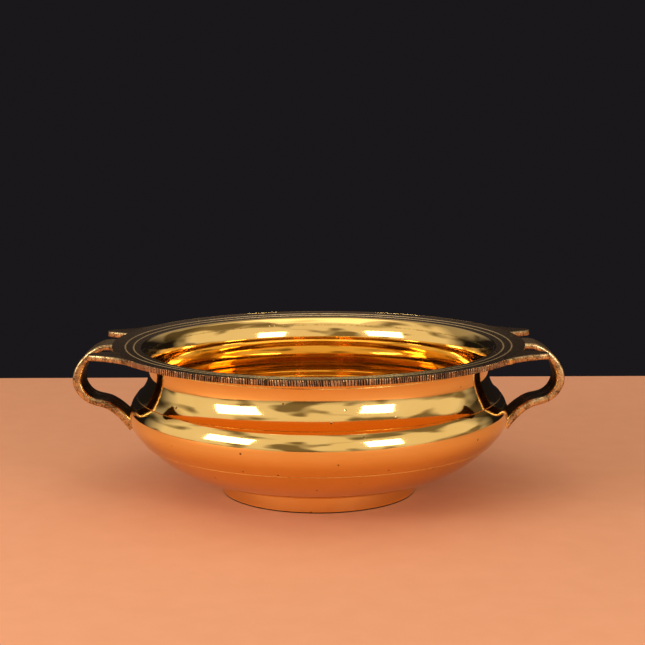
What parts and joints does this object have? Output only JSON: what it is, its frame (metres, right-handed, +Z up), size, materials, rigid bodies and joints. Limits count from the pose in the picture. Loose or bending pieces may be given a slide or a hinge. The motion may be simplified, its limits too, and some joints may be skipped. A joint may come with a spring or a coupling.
{
  "type": "urli bowl",
  "caption": "Shallow round brass bowl with a flat grooved rim, waisted neck, low foot ring and looped strap handles between side prongs.",
  "frame": {"origin": "centre of the foot ring's underside, on the ground", "axes": "+Z up along the bowl's axis of revolution, +X through the right handle, -Y towards a viewer in front"},
  "size_m": [0.28, 0.235, 0.086],
  "materials": {
    "polished_brass": "polished",
    "cast_brass": "satin",
    "braze_alloy": "satin"
  },
  "bodies": {
    "root": {"rim_flange": "polished_brass", "neck_collar": "polished_brass", "belly_shell": "polished_brass", "base_dish": "polished_brass", "foot_ring": "polished_brass", "left_handle": "cast_brass", "right_handle": "cast_brass", "rim_joint_braze": "braze_alloy", "waist_joint_braze": "braze_alloy", "base_joint_braze": "braze_alloy", "foot_ring_braze": "braze_alloy", "left_handle_root_braze": "braze_alloy", "right_handle_root_braze": "braze_alloy", "left_handle_foot_braze": "braze_alloy", "right_handle_foot_braze": "braze_alloy"}
  },
  "joints": []
}
